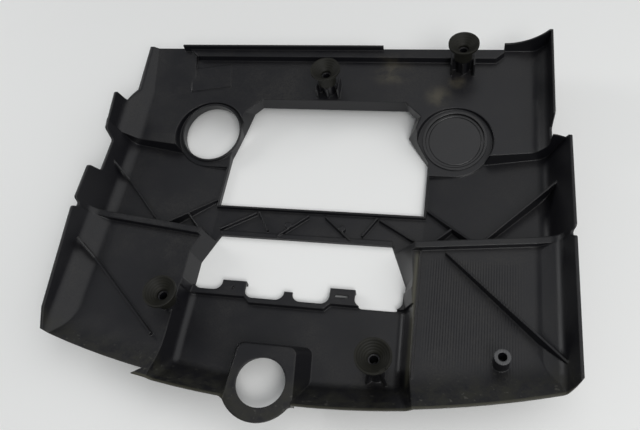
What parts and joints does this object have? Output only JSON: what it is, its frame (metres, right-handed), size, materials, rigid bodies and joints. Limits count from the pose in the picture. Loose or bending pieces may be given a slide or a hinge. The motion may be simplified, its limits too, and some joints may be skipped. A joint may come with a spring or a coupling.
{
  "type": "engine cover",
  "caption": "Thin-walled moulded engine cover with stepped ribbed panels, large openings, round seats, an oil-filler hole and rubber stud grommets on hollow posts.",
  "frame": {"origin": "on the show face, at the middle of the bridge between the openings", "axes": "+X to the right as seen from the underside with the oil-filler hole in front, +Y to the rear, +Z out of the underside, away from the show face"},
  "size_m": [0.5802, 0.507, 0.084],
  "materials": {
    "moulded_plastic": "black, fine grain, dusty",
    "cap_plastic": "black, slightly smoother than the shell",
    "grommet_rubber": "dull olive grey"
  },
  "bodies": {
    "root": {"cover_shell": "moulded_plastic", "round_cap": "cap_plastic", "grommet_front_right": "grommet_rubber", "grommet_front_left": "grommet_rubber", "grommet_rear_left": "grommet_rubber", "grommet_rear_right": "grommet_rubber"}
  },
  "joints": []
}
